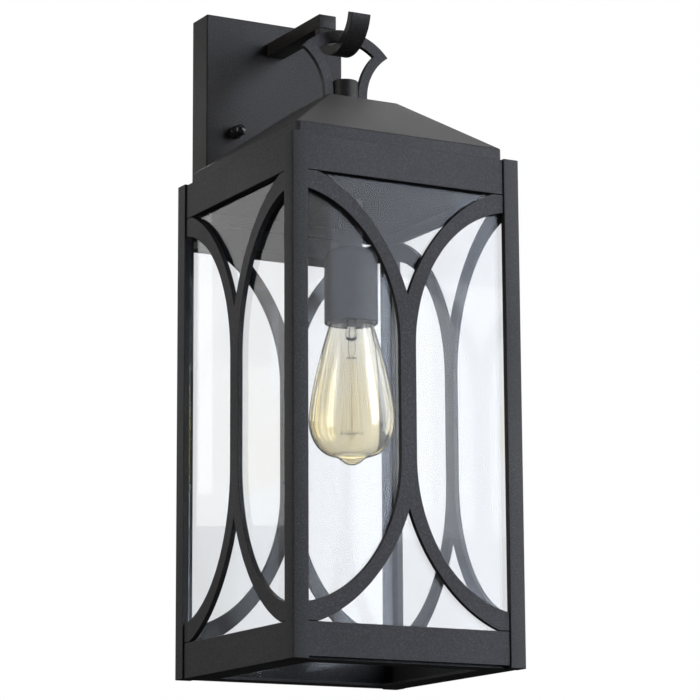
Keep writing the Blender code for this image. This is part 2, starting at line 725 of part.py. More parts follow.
def main():
    clear_scene()
    black = material("black_powder_coat", (0.020, 0.020, 0.022), 0.50, metallic=0.2)
    steel = material("zinc_steel", (0.60, 0.60, 0.58), 0.35, metallic=1.0)
    green = material("green_screw", (0.05, 0.30, 0.10), 0.40)
    glass = material("clear_glass", (0.90, 0.95, 0.95), 0.03, transmission=1.0)
    amber = material("amber_glass", (0.95, 0.78, 0.45), 0.02, transmission=1.0)
    brass = material("brass", (0.80, 0.62, 0.28), 0.30, metallic=1.0)
    ceramic = material("ceramic", (0.75, 0.72, 0.66), 0.45)
    wire = material("filament_wire", (0.25, 0.22, 0.18), 0.40, metallic=1.0)

    make_back_plate(black)
    make_crossbar(steel)
    make_fasteners(steel, green, black)
    make_arm(black, steel)
    make_hook(black)

    hinge = empty("lantern_hinge", (0.0, LANTERN_Y + HOOK_BACK, FOOT_Z + HOOK_CENTRE))
    lantern = empty("lantern_foot", (0.0, -HOOK_BACK, -HOOK_CENTRE), hinge)
    lamp = empty("lamp_axis", (LAMP_X, 0.0, 0.0), lantern)
    make_loop(black, lantern)
    make_finial(black, steel, lantern)
    make_roof(black, lantern)
    make_ceiling(black, lantern)
    make_posts(black, lantern)
    make_rails(black, lantern)
    make_tracery(black, lantern)
    make_glass(glass, lantern)
    make_bottom_ring(black, lantern)
    make_stem(black, steel, lamp)
    make_socket(black, ceramic, brass, lamp)
    make_bulb_glass(amber, lamp)
    make_bulb_base(brass, lamp)
    make_bulb_inside(glass, wire, lamp)


main()
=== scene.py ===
"""Looks of the outdoor wall lantern: fine meshes, materials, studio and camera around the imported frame.

Metres, +Z up. The frame's origin is on the wall behind the back plate's middle; the front faces -Y.
"""

import json
import math

import bmesh
import bpy
from mathutils import Matrix, Vector
from mathutils.geometry import interpolate_bezier


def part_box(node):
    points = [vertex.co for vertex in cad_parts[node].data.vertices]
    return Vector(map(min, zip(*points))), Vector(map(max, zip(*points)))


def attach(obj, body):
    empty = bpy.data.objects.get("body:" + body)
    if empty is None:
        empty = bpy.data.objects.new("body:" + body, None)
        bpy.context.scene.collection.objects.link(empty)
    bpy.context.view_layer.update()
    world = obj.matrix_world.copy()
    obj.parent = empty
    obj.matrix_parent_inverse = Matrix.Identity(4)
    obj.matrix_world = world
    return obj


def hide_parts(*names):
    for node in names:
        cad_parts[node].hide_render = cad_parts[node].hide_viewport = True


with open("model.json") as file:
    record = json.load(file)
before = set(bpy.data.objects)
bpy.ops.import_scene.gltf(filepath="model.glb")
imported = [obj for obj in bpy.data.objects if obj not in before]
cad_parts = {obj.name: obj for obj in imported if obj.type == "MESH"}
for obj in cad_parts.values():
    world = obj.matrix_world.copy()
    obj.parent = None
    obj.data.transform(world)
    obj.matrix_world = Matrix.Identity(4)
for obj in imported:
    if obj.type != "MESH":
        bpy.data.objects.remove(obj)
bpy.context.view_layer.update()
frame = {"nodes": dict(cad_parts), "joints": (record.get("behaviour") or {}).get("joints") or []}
nodes = frame["nodes"]

SIDES = ("front", "right", "back", "left")
CORNERS = ("back_right", "back_left", "front_left", "front_right")
FRAME_STEPS = 24  # sides of a round piece in the frame, with flats on the axes
GAP = 0.0003  # clearance at a weld or around a stud
EDGE = 0.0004  # rounding of a sheared edge
PINHOLE = 0.0004  # radius at which a round profile ends on its axis
SCREW_BORE = 0.0024  # radius of the arm screw's hole and of the cap nuts' bores
NIPPLE_BORE = 0.00505  # radius of the holes for the threaded nipples


def middle(node):
    low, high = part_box(node)
    return (low + high) / 2


def size(node):
    low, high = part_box(node)
    return high - low


def round_radius(node):
    """The true radius of a round piece, out to its corners."""
    low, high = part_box(node)
    return (high.x - low.x) / 2 / math.cos(math.pi / FRAME_STEPS)


# The lantern's own frame: its axis, and heights above the cage's foot
AXIS = middle("bottom_ring")
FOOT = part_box("post_front_left")[0].z
LAMP = middle("bulb_glass")


# ---------------------------------------------------------------- materials


class Look:
    """A node material under construction, with its Principled shader and its object coordinates."""

    def __init__(self, name, **values):
        self.material = bpy.data.materials.new(name)
        self.material.use_nodes = True
        self.tree = self.material.node_tree
        self.shader = self.tree.nodes["Principled BSDF"]
        self.place = self.add("ShaderNodeTexCoord").outputs["Object"]
        for key, value in values.items():
            self.shader.inputs[key.replace("_", " ")].default_value = value

    def add(self, kind, **inputs):
        node = self.tree.nodes.new(kind)
        for key, value in inputs.items():
            node.inputs[key.replace("_", " ")].default_value = value
        return node

    def link(self, output, target):
        self.tree.links.new(output, target)

    def noise(self, scale, detail=2.0, stretch=(1, 1, 1)):
        mapping = self.add("ShaderNodeMapping", Scale=stretch)
        self.link(self.place, mapping.inputs["Vector"])
        found = self.add("ShaderNodeTexNoise", Scale=scale, Detail=detail)
        self.link(mapping.outputs["Vector"], found.inputs["Vector"])
        return found.outputs["Fac"]

    def spread(self, value, low, high, start=0.3, end=0.7):
        """Maps value's start to end onto low to high."""
        node = self.add("ShaderNodeMapRange")
        for name, number in (("From Min", start), ("From Max", end), ("To Min", low), ("To Max", high)):
            node.inputs[name].default_value = number
        self.link(value, node.inputs["Value"])
        return node.outputs["Result"]

    def blend(self, factor, first, second):
        """Mixes two colours, by way of the mix node's colour sockets."""
        node = self.add("ShaderNodeMix")
        node.data_type = "RGBA"
        for socket, colour in ((node.inputs[6], first), (node.inputs[7], second)):
            if isinstance(colour, tuple):
                socket.default_value = (*colour, 1.0)
            else:
                self.link(colour, socket)
        self.link(factor, node.inputs[0])
        return node.outputs[2]

    def bump(self, heights, strength, distance):
        """Adds bump layers of (height output, weight) onto one another."""
        normal = None
        for height, weight in heights:
            node = self.add("ShaderNodeBump", Strength=strength * weight, Distance=distance)
            self.link(height, node.inputs["Height"])
            if normal:
                self.link(normal, node.inputs["Normal"])
            normal = node.outputs["Normal"]
        self.link(normal, self.shader.inputs["Normal"])

    def paint(self, colour):
        self.link(colour, self.shader.inputs["Base Color"])

    def component(self, vector, name):
        node = self.add("ShaderNodeSeparateXYZ")
        self.link(vector, node.inputs["Vector"])
        return node.outputs[name]

    def maths(self, operation, first, second):
        node = self.add("ShaderNodeMath")
        node.operation = operation
        self.link(first, node.inputs[0])
        self.link(second, node.inputs[1])
        return node.outputs[0]

    def pass_lamps(self, tint):
        """Lets shadow rays and reflected rays straight through a glass, so that what it holds is lit."""
        rays = self.add("ShaderNodeLightPath").outputs
        reflected = self.maths("GREATER_THAN", rays["Is Glossy Ray"], rays["Is Transmission Ray"])
        lamps = self.maths("MAXIMUM", rays["Is Shadow Ray"], rays["Is Diffuse Ray"])
        straight = self.maths("MAXIMUM", lamps, reflected)
        clear = self.add("ShaderNodeBsdfTransparent")
        if isinstance(tint, tuple):
            clear.inputs["Color"].default_value = (*tint, 1.0)
        else:
            self.link(tint, clear.inputs["Color"])
        mix = self.add("ShaderNodeMixShader")
        self.link(straight, mix.inputs["Fac"])
        self.link(self.shader.outputs["BSDF"], mix.inputs[1])
        self.link(clear.outputs["BSDF"], mix.inputs[2])
        self.link(mix.outputs["Shader"], self.tree.nodes["Material Output"].inputs["Surface"])


def powder_coat(name, dark, light, roughness, gloss=0.28, grain=1.0):
    """Fine-grained satin black powder coat: lighter specks, grain in the bump, drifts in colour and gloss."""
    look = Look(name, IOR=1.5, Specular_IOR_Level=gloss)
    fine = look.noise(2600, 2.0)
    orange_peel = look.noise(700, 2.0)
    cloud = look.noise(9, 3.0)
    speck = look.spread(look.noise(1200, 2.0), 0.0, 1.0, 0.48, 0.66)
    tone = look.blend(cloud, dark, light)
    lifted = tuple(channel * 1.6 + 0.008 for channel in light)
    look.paint(look.blend(speck, tone, lifted))
    look.link(look.spread(cloud, roughness - 0.04, roughness + 0.05), look.shader.inputs["Roughness"])
    look.bump([(fine, 1.0), (orange_peel, 1.0)], 0.5 * grain, 0.0002)
    return look.material


def clear_glass():
    """Float glass: nearly clear, green on its cut upper and lower edges, a slow ripple and a soft sheen."""
    look = Look(
        "clear_float_glass",
        Transmission_Weight=1.0,
        Roughness=0.0,
        IOR=1.15,
        Coat_Weight=0.14,
        Coat_Roughness=0.12,
    )
    geometry = look.add("ShaderNodeNewGeometry")
    lean = look.component(geometry.outputs["True Normal"], "Z")
    cut_edge = look.add("ShaderNodeMath")
    cut_edge.operation = "ABSOLUTE"
    look.link(lean, cut_edge.inputs[0])
    look.paint(look.blend(cut_edge.outputs[0], (0.87, 0.88, 0.89), (0.16, 0.34, 0.33)))
    look.bump([(look.noise(7, 0.0, (1, 1, 0.5)), 1.0)], 0.01, 0.002)
    look.pass_lamps((0.93, 0.94, 0.94))
    return look.material


def amber_glass():
    """Bulb glass: gold tinted in the belly and nearly clear towards the neck, with faint flow lines."""
    low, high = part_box("bulb_glass")
    look = Look(
        "amber_bulb_glass",
        Transmission_Weight=1.0,
        Roughness=0.0,
        IOR=1.32,
        Coat_Weight=1.0,
        Coat_Roughness=0.07,
        Coat_IOR=1.6,
    )
    height = look.spread(look.component(look.place, "Z"), 0.0, 1.0, low.z + 0.045, high.z - 0.012)
    flow = look.spread(look.noise(60, 2.0, (1, 1, 0.15)), 0.0, 1.0, 0.35, 0.65)
    belly = look.blend(flow, (0.94, 0.87, 0.66), (0.97, 0.92, 0.78))
    tint = look.blend(height, belly, (0.97, 0.95, 0.88))
    look.paint(tint)
    look.bump([(look.noise(45, 1.0, (1, 1, 0.3)), 1.0)], 0.05, 0.001)
    look.pass_lamps(tint)
    return look.material


def lamp_glass():
    """The thick, slightly uneven glass of the lamp's stem mount."""
    look = Look("lamp_stem_glass", Transmission_Weight=1.0, Roughness=0.05, IOR=1.5)
    cloud = look.noise(260, 2.0)
    look.paint(look.blend(cloud, (0.90, 0.92, 0.92), (0.99, 0.99, 0.99)))
    look.bump([(cloud, 1.0)], 0.15, 0.0004)
    look.pass_lamps((0.95, 0.95, 0.95))
    return look.material


def plated(name, dark, light, roughness):
    """Bare or plated metal with fine drawn lines and patchy gloss."""
    look = Look(name, Metallic=1.0)
    lines = look.noise(900, 3.0, (1, 1, 12))
    cloud = look.noise(80, 3.0)
    look.paint(look.blend(cloud, dark, light))
    look.link(look.spread(lines, roughness - 0.08, roughness + 0.12), look.shader.inputs["Roughness"])
    look.bump([(lines, 1.0)], 0.12, 0.0001)
    return look.material


def glazed_porcelain():
    """Cream porcelain with a thin glaze."""
    look = Look("lampholder_porcelain", Roughness=0.35, Coat_Weight=0.4)
    look.paint(look.blend(look.noise(120, 3.0), (0.62, 0.55, 0.46), (0.74, 0.68, 0.60)))
    look.bump([(look.noise(500, 2.0), 1.0)], 0.08, 0.0002)
    return look.material


def painted_green():
    """The green paint that marks a ground screw."""
    look = Look("green_ground_paint", Roughness=0.4)
    look.paint(look.blend(look.noise(200, 3.0), (0.03, 0.22, 0.07), (0.06, 0.33, 0.12)))
    look.bump([(look.noise(900, 2.0), 1.0)], 0.1, 0.0001)
    return look.material


BLACK = powder_coat("black_powder_coat", (0.021, 0.0195, 0.0205), (0.029, 0.027, 0.028), 0.52)
# A darker, slightly smoother copy of the black powder coat for the arm, plate, hook and finial. Its darker
# colour is painted shade for the dimmer light on these upper pieces.
SHADED_BLACK = powder_coat(
    "shaded_powder_coat", (0.0125, 0.0110, 0.0100), (0.018, 0.016, 0.0148), 0.45, gloss=0.24
)
GLOSS_BLACK = powder_coat(
    "gloss_black_paint", (0.010, 0.010, 0.011), (0.015, 0.015, 0.016), 0.22, gloss=0.5, grain=0.4
)
GLASS = clear_glass()
AMBER = amber_glass()
LAMP_GLASS = lamp_glass()
ZINC = plated("zinc_plate", (0.50, 0.50, 0.49), (0.66, 0.66, 0.64), 0.34)
BRASS = plated("brass", (0.70, 0.50, 0.20), (0.84, 0.66, 0.32), 0.28)
WIRE = plated("dark_lamp_wire", (0.10, 0.085, 0.07), (0.20, 0.17, 0.14), 0.35)
FILAMENT = plated("filament_gold", (0.85, 0.66, 0.34), (0.98, 0.84, 0.52), 0.30)
PORCELAIN = glazed_porcelain()
GREEN = painted_green()


# ---------------------------------------------------------------- mesh tools


def upwards(u, v, w):
    """Rings stacked up the lantern's axis."""
    return (AXIS.x + u, AXIS.y + v, FOOT + w)


def up_the_lamp(u, v, w):
    """Rings stacked up the lamp's own axis."""
    return (LAMP.x + u, LAMP.y + v, FOOT + w)


def circle(radius, steps):
    angles = [math.tau * (i + 0.5) / steps for i in range(steps)]
    return [(radius * math.cos(a), radius * math.sin(a)) for a in angles]


def rectangle(half_u, half_v, corner, steps):
    """An upright rounded rectangle, anticlockwise."""
    points = []
    for quarter in range(4):
        turn = quarter * math.pi / 2
        centre_u = math.copysign(half_u - corner, math.cos(turn + math.pi / 4))
        centre_v = math.copysign(half_v - corner, math.sin(turn + math.pi / 4))
        points += arc((centre_u, centre_v), corner, turn, turn + math.pi / 2, steps)
    return points


def arc(centre, radius, start, end, steps):
    angles = [start + (end - start) * i / steps for i in range(steps + 1)]
    return [(centre[0] + radius * math.cos(a), centre[1] + radius * math.sin(a)) for a in angles]


def bezier(points, steps):
    flat = [(r, z, 0.0) for r, z in points]
    found = interpolate_bezier(*flat, steps + 1)
    return [(p[0], p[1]) for p in found]


def add_object(name, data):
    obj = bpy.data.objects.new(name, data)
    bpy.context.scene.collection.objects.link(obj)
    return obj


def ring_mesh(name, rings, place, closed=False):
    """A skin through rings of (outline, height), capped, or else closed from its last ring to its first."""
    bm = bmesh.new()
    loops = [[bm.verts.new(place(u, v, w)) for u, v in outline] for outline, w in rings]
    following = loops[1:] + loops[:1] if closed else loops[1:]
    for lower, upper in zip(loops, following):
        for i, corner in enumerate(lower):
            j = (i + 1) % len(lower)
            bm.faces.new((corner, lower[j], upper[j], upper[i]))
    if not closed:
        bm.faces.new(loops[0])
        bm.faces.new(loops[-1])
    bmesh.ops.recalc_face_normals(bm, faces=bm.faces)
    mesh = bpy.data.meshes.new(name)
    bm.to_mesh(mesh)
    bm.free()
    return mesh


def loft(name, rings, place, look, body, stands_for, smooth_angle, closed=False):
    """A piece on a body, through rings, shaded smooth up to an angle between its faces."""
    mesh = ring_mesh(name, rings, place, closed)
    mesh.materials.append(look)
    mesh.shade_smooth()
    mesh.set_sharp_from_angle(angle=math.radians(smooth_angle))
    obj = add_object(name, mesh)
    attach(obj, body)
    if stands_for:
        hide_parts(*stands_for)
    return obj


def soften(obj, width, segments=2):
    """Rounds an object's edges, and keeps the flat faces' shading flat."""
    bevel = obj.modifiers.new("soft_edges", "BEVEL")
    bevel.width = width
    bevel.segments = segments
    bevel.limit_method = "ANGLE"
    bevel.angle_limit = math.radians(30)
    bevel.harden_normals = True


def wires(name, routes, radius, look, stands_for, roundness):
    """Round wires of the lamp, along lists of points."""
    curve = bpy.data.curves.new(name, "CURVE")
    curve.dimensions = "3D"
    curve.bevel_depth = radius
    curve.bevel_resolution = roundness
    curve.use_fill_caps = True
    curve.materials.append(look)
    for route in routes:
        spline = curve.splines.new("POLY")
        spline.points.add(len(route) - 1)
        for spot, point in zip(spline.points, route):
            spot.co = (*point, 1.0)
    obj = add_object(name, curve)
    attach(obj, "bulb")
    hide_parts(stands_for)


# ---------------------------------------------------------------- carried-over frame pieces


def dress(node, look, edge=0.0002, segments=2):
    """Gives a frame piece its material, and joins its separate triangles into flat and round faces."""
    obj = nodes[node]
    mesh = obj.data
    mesh.materials.clear()
    mesh.materials.append(look)
    packed_shading = mesh.attributes.get("custom_normal")
    if packed_shading:
        mesh.attributes.remove(packed_shading)
    mesh.shade_smooth()
    weld = obj.modifiers.new("weld", "WELD")
    weld.merge_threshold = 0.00001
    flat = obj.modifiers.new("flat_faces", "DECIMATE")
    flat.decimate_type = "DISSOLVE"
    flat.angle_limit = math.radians(0.5)
    soften(obj, edge, segments)


def dress_frame():
    """Dresses the pieces that the frame already has in full."""
    dress("arm", SHADED_BLACK, 0.0005)
    for node in ("loop_foot", "ceiling_plate"):
        dress(node, BLACK, 0.0005)
    for corner in CORNERS:
        dress(f"post_{corner}", BLACK, EDGE)
    for side in SIDES:
        dress(f"top_rail_{side}", BLACK, 0.0005)
        dress(f"bottom_rail_{side}", BLACK, 0.0005)
        dress(f"glass_{side}", GLASS, 0.0003, 1)
    dress("bottom_ring", BLACK, 0.0003)
    dress("stem_tube", BLACK)
    for side in ("left", "right"):
        dress(f"stud_nut_{side}", ZINC)
        dress(f"mounting_stud_{side}", ZINC)
    for node in ("wall_crossbar", "arm_screw", "roof_nipple", "roof_nipple_nut"):
        dress(node, ZINC)
    for node in ("stem_nipple", "stem_nut_upper", "stem_nut_lower"):
        dress(node, ZINC)
    dress("ground_screw", GREEN)
    dress("lampholder", PORCELAIN)
    for node in ("screw_shell", "centre_contact", "bulb_base", "bulb_contact"):
        dress(node, BRASS)


# ---------------------------------------------------------------- back plate


def make_plate():
    """A folded pan, open to the wall, drilled for the two studs and the arm's screw."""
    low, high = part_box("back_plate")
    half_u, half_v, depth = high.x, high.z, -low.y
    sheet, bend, corner, least_corner = 0.0015, 0.0011, 0.0012, 0.0004

    def out(u, v, w):
        return (u, -w, v)

    bends = arc((bend, depth - bend), bend, math.pi, math.pi / 2, 6)
    profile = [(sheet, depth - sheet), (sheet, 0.0), (0.0, 0.0)] + bends
    rings = []
    for inset, height in profile:
        ring_corner = max(corner - inset, least_corner)
        rings.append((rectangle(half_u - inset, half_v - inset, ring_corner, 5), height))
    stands_for = ["back_plate"]
    pan = loft("folded_plate", rings, out, SHADED_BLACK, "bracket", stands_for, 35)
    for side in ("left", "right"):
        stud = f"mounting_stud_{side}"
        bore = (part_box(stud)[1] - middle(stud)).x + GAP
        drill(pan, middle(stud), bore, depth)
    drill(pan, middle("arm_screw"), SCREW_BORE, depth)
    weigh(pan)


def drill(obj, centre, radius, depth):
    """Cuts a round hole through the pan's front, which stands at this depth from the wall."""

    def out(u, v, w):
        return (centre.x + u, -w, centre.z + v)

    reach = 0.01
    rings = [(circle(radius, 24), depth + reach), (circle(radius, 24), depth - reach)]
    cutter = add_object("drill", ring_mesh("drill", rings, out))
    hole = obj.modifiers.new("hole", "BOOLEAN")
    hole.operation = "DIFFERENCE"
    hole.object = cutter
    drilled = bpy.data.meshes.new_from_object(obj.evaluated_get(bpy.context.evaluated_depsgraph_get()))
    obj.modifiers.remove(hole)
    obj.data = drilled
    bpy.data.objects.remove(cutter)


def weigh(obj):
    """Shades each large face flat, up to the small bends beside it."""
    weighted = obj.modifiers.new("face_shading", "WEIGHTED_NORMAL")
    weighted.keep_sharp = True
    weighted.weight = 90


# ---------------------------------------------------------------- tracery

OVAL_STRAIGHT = 0.041  # half height of the straight middle
OVAL_INNER = (0.0878, 0.1073)  # half width and rise of the opening's ellipse
OVAL_OUTER = (0.1008, 0.1240)  # the same of the bar's outer edge
OVAL_POWER = 1.795  # the outer edge bulges a little less than an ellipse, whose power is 2
OVAL_STEPS = 44


def tracery_outline(corner_line, side, top):
    """Two half ovals back to back, centred on the cage's corner lines, joined in a centre bar."""
    inner_end = math.acos((corner_line - side) / OVAL_INNER[0])
    quarter = []
    for i in range(OVAL_STEPS + 1):
        turn = inner_end * i / OVAL_STEPS
        x = corner_line - OVAL_INNER[0] * math.cos(turn)
        quarter.append((x, OVAL_STRAIGHT + OVAL_INNER[1] * math.sin(turn)))
    quarter.append((side, top))
    power = 2 / OVAL_POWER
    at_rail = math.asin(((top - OVAL_STRAIGHT) / OVAL_OUTER[1]) ** (1 / power))
    at_crotch = math.acos((corner_line / OVAL_OUTER[0]) ** (1 / power))
    for i in range(OVAL_STEPS + 1):
        turn = at_rail + (at_crotch - at_rail) * i / OVAL_STEPS
        x = corner_line - OVAL_OUTER[0] * math.cos(turn) ** power
        quarter.append((x, OVAL_STRAIGHT + OVAL_OUTER[1] * math.sin(turn) ** power))
    quarter[-1] = (0.0, quarter[-1][1])
    upper = quarter + [(-x, h) for x, h in quarter[-2::-1]]
    return upper + [(-x, -h) for x, h in upper]


def make_tracery():
    """Four flat panels: the front's outline, turned around the lantern's axis."""
    low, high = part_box("tracery_front")
    corner_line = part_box("post_front_right")[1].x
    outline = tracery_outline(corner_line, high.x, (high.z - low.z) / 2)
    middle_height = (low.z + high.z) / 2
    near, far = AXIS.y - high.y, AXIS.y - low.y
    rings = [(outline, near), (outline, far)]
    for i, side in enumerate(SIDES):
        turn = i * math.pi / 2

        def face(u, v, w, turn=turn):
            """u along the face, v up it, w out from the lantern's axis."""
            x = AXIS.x + (u * math.cos(turn) + w * math.sin(turn))
            y = AXIS.y + (u * math.sin(turn) - w * math.cos(turn))
            return (x, y, middle_height + v)

        stands_for = [f"tracery_{side}"]
        panel = loft(f"tracery_panel_{side}", rings, face, BLACK, "lantern", stands_for, 20)
        soften(panel, EDGE)


# ---------------------------------------------------------------- hook, loop and finial

LOOP_TOP = 0.4401  # height of the top arc's centre
LOOP_TOP_OUTER = 0.0475  # radius of the loop's outer edge there
LOOP_TOP_INNER = 0.0385
LOOP_LEG = (0.0588, 0.4370)  # centre of the right leg's arc, beside the leg
LOOP_LEG_OUTER = 0.0405  # radius of the loop's outer edge there
LOOP_LEG_INNER = 0.0482
STRAP_THICKNESS = 0.0072


def circles_cross(first, first_radius, second, second_radius):
    """The upper crossing point of two circles in a plane."""
    du, dv = second[0] - first[0], second[1] - first[1]
    apart = math.hypot(du, dv)
    along = (first_radius**2 - second_radius**2 + apart**2) / (2 * apart)
    across = math.sqrt(first_radius**2 - along**2)
    return (first[0] + (along * du - across * dv) / apart, first[1] + (along * dv + across * du) / apart)


def loop_side(top_radius, leg_radius, bottom):
    """Half of the loop's outline, from the top's middle down the right leg."""
    top = (0.0, LOOP_TOP)
    corner = circles_cross(top, top_radius, LOOP_LEG, leg_radius)
    turn = math.atan2(corner[1] - top[1], corner[0])
    shoulder = math.atan2(corner[1] - LOOP_LEG[1], corner[0] - LOOP_LEG[0])
    points = arc(top, top_radius, math.pi / 2, turn, 24)
    points += arc(LOOP_LEG, leg_radius, shoulder, math.pi, 26)[1:]
    return points + [(LOOP_LEG[0] - leg_radius, bottom)]


def make_loop():
    """A flat plate loop with a round top, sharp shoulders, and legs that curve in towards the foot."""
    low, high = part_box("hanging_loop")
    outer = loop_side(LOOP_TOP_OUTER, LOOP_LEG_OUTER, low.z - FOOT)
    inner = loop_side(LOOP_TOP_INNER, LOOP_LEG_INNER, low.z - FOOT)
    left_outer = [(-x, z) for x, z in outer[1:]]
    left_inner = [(-x, z) for x, z in inner[1:]]
    outline = left_outer[::-1] + outer + inner[::-1] + left_inner

    def upright(u, v, w):
        return (AXIS.x + u, w, FOOT + v)

    rings = [(outline, low.y), (outline, high.y)]
    loop = loft("forged_loop", rings, upright, BLACK, "lantern", ["hanging_loop"], 20)
    soften(loop, EDGE)


def make_hook():
    """A strap bent to part of a ring around the swing's axis, level at the arm and square at the tip."""
    low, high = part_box("hook")
    joint = frame["joints"][0]["pos_m"]
    centre = (joint[1], joint[2])
    outer_radius = centre[1] - low.z
    inner_radius = outer_radius - STRAP_THICKNESS
    below = centre[1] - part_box("arm")[0].z + GAP
    outer_tip, inner_tip = math.radians(-169), math.radians(-171.5)
    outline = arc(centre, outer_radius, -math.asin(below / outer_radius), outer_tip, 60)
    outline += arc(centre, inner_radius, inner_tip, -math.asin(below / inner_radius), 60)

    def across(u, v, w):
        return (w, u, v)

    rings = [(outline, low.x), (outline, high.x)]
    strap = loft("hook_strap", rings, across, SHADED_BLACK, "bracket", ["hook"], 20)
    soften(strap, 0.0005)


def make_finial():
    """A round nut with a blind bore from below, a small chamfer and a rounded rim."""
    low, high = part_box("finial_nut")
    base, top = low.z - FOOT, high.z - FOOT
    radius = max(size("finial_nut").x, size("finial_nut").y) / 2
    lid, chamfer, rim = 0.0055, 0.0004, 0.0009
    profile = [(NIPPLE_BORE, top - lid), (NIPPLE_BORE, base)]
    profile += [(radius - chamfer, base), (radius, base + chamfer)]
    profile += arc((radius - rim, top - rim), rim, 0.0, math.pi / 2, 5)
    profile += [(PINHOLE, top)]
    rings = [(circle(r, 64), z) for r, z in profile]
    loft("finial", rings, upwards, SHADED_BLACK, "finial", ["finial_nut"], 40)


NUT_COLLAR = 0.0052  # radius of the collar's corners
NUT_FLAT = 0.0047  # from the axis to the collar's flats
NUT_COLLAR_END = 0.0040  # from the plate
NUT_DOME = 0.0047
NUT_STEPS = 48


def nut_ring(radius, depth):
    """A circle, or the collar's circle with six flats cut on it."""
    if not (0.0 < depth < NUT_COLLAR_END and radius > SCREW_BORE):
        return circle(radius, NUT_STEPS)
    ring = []
    for i in range(NUT_STEPS):
        angle = math.tau * (i + 0.5) / NUT_STEPS
        within = (angle % (math.tau / 6)) - math.pi / 6
        ring_radius = min(radius, NUT_FLAT / math.cos(within))
        ring.append((ring_radius * math.cos(angle), ring_radius * math.sin(angle)))
    return ring


def make_cap_nuts():
    """A collar with flats at the plate, a turned groove, and a domed barrel."""
    for name in ("cap_nut_left", "cap_nut_right"):
        low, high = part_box(name)
        centre = middle(name)
        seat, end = high.y, low.y

        def out(u, v, w, centre=centre, seat=seat):
            return (centre.x + u, seat - w, centre.z + v)

        chamfer, groove = 0.0003, 0.0043
        profile = [(SCREW_BORE, 0.0090), (SCREW_BORE, 0.0), (NUT_COLLAR - chamfer, 0.0)]
        profile += [(NUT_COLLAR, chamfer), (NUT_COLLAR, 0.0036), (NUT_COLLAR - 0.0004, NUT_COLLAR_END)]
        profile += [(groove, 0.0042), (groove, 0.0050), (0.0046, 0.0053), (NUT_DOME, 0.0060)]
        profile += arc((0.0, seat - end - NUT_DOME), NUT_DOME, 0.0, math.radians(84), 10)
        rings = [(nut_ring(radius, depth), depth) for radius, depth in profile]
        loft(f"domed_{name}", rings, out, GLOSS_BLACK, name, [name], 30)


# ---------------------------------------------------------------- roof

SKIRT_TOP = 0.3853
ROOF_FLAT = 0.02975  # half width of the flat top


def make_roof():
    """A folded sheet roof: upright skirt, four slopes with soft bends, and a flat top."""
    low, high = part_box("roof")
    half = (high.x - low.x) / 2
    top = high.z - FOOT
    sheet = 0.0012
    corner = 0.003
    steps = 8
    slope = math.atan2(top - SKIRT_TOP, half - ROOF_FLAT)
    lean = math.pi / 2 - slope
    bend = 0.0016
    eave = arc((half - bend, SKIRT_TOP - bend * math.tan(lean / 2)), bend, 0.0, lean, 8)
    crown = arc((ROOF_FLAT - bend * math.tan(slope / 2), top - bend), bend, lean, math.pi / 2, 8)
    outside = [(half, low.z - FOOT)] + eave + crown
    hole = [(circle(NIPPLE_BORE, 4 * (steps + 1)), z) for z in (top, top - sheet)]
    inner = [
        (ROOF_FLAT - sheet * math.tan(slope / 2), top - sheet),
        (half - sheet, SKIRT_TOP - sheet * math.tan(lean / 2)),
        (half - sheet, low.z - FOOT),
    ]
    rings = [(rectangle(r, r, corner, steps), z) for r, z in outside] + hole
    rings += [(rectangle(r, r, corner, steps), z) for r, z in inner]
    loft("folded_roof", rings, upwards, BLACK, "lantern", ["roof"], 40, closed=True)


# ---------------------------------------------------------------- socket and bulb

CUP_SHEET = 0.0015
LAMP_STEPS = 72


def make_cup():
    """A spun cup, open below, with a rolled lip and a soft shoulder."""
    low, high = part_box("socket_cup")
    base, top = low.z - FOOT, high.z - FOOT
    radius = round_radius("socket_cup")
    inner = radius - CUP_SHEET
    shoulder, lip = 0.006, 0.0007
    soft = shoulder - CUP_SHEET
    profile = arc((inner + lip, base + lip), lip, math.pi, 1.5 * math.pi, 4)
    profile += arc((radius - lip, base + lip), lip, 1.5 * math.pi, math.tau, 4)
    profile += arc((radius - shoulder, top - shoulder), shoulder, 0.0, math.pi / 2, 12)
    profile += [(NIPPLE_BORE, top), (NIPPLE_BORE, top - CUP_SHEET)]
    profile += arc((inner - soft, top - CUP_SHEET - soft), soft, math.pi / 2, 0.0, 8)
    rings = [(circle(r, LAMP_STEPS), z) for r, z in profile]
    name, stands_for = "spun_socket_cup", ["socket_cup"]
    loft(name, rings, up_the_lamp, BLACK, "lantern", stands_for, 40, closed=True)


def make_cup_liner():
    """A thin porcelain ring inside the cup's mouth, below the lampholder."""
    gap, wall, recess = 0.0002, 0.0010, 0.0009
    outer = round_radius("socket_cup") - CUP_SHEET - gap
    bore = outer - wall
    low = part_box("socket_cup")[0].z - FOOT + recess
    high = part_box("lampholder")[0].z - FOOT - 0.0001
    profile = ((bore, low), (outer, low), (outer, high), (bore, high))
    rings = [(circle(r, LAMP_STEPS), z) for r, z in profile]
    loft("cup_liner", rings, up_the_lamp, PORCELAIN, "lantern", [], 40, closed=True)


def bulb_outside():
    """(radius, height) along the glass, from the tip up to the neck, within the frame's bulb."""
    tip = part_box("bulb_glass")[0].z - FOOT
    wide, neck_radius = round_radius("bulb_glass"), 0.0124
    pip_edge, widest, throat = (0.0130, 0.1612), (wide, 0.1870), (0.0158, 0.2620)
    pip = [(0.0005, tip), (0.0070, tip), (0.0100, 0.1612), pip_edge]
    belly = [pip_edge, (0.0250, 0.1618), (wide, 0.1760), widest]
    cone = [widest, (wide, 0.2050), (0.0213, 0.2460), throat]
    neck = [throat, (0.0140, 0.2655), (neck_radius, 0.2660), (neck_radius, 0.2678)]
    profile = bezier(pip, 14) + bezier(belly, 18)[1:] + bezier(cone, 24)[1:] + bezier(neck, 6)[1:]
    return profile + [(neck_radius, 0.2716)]


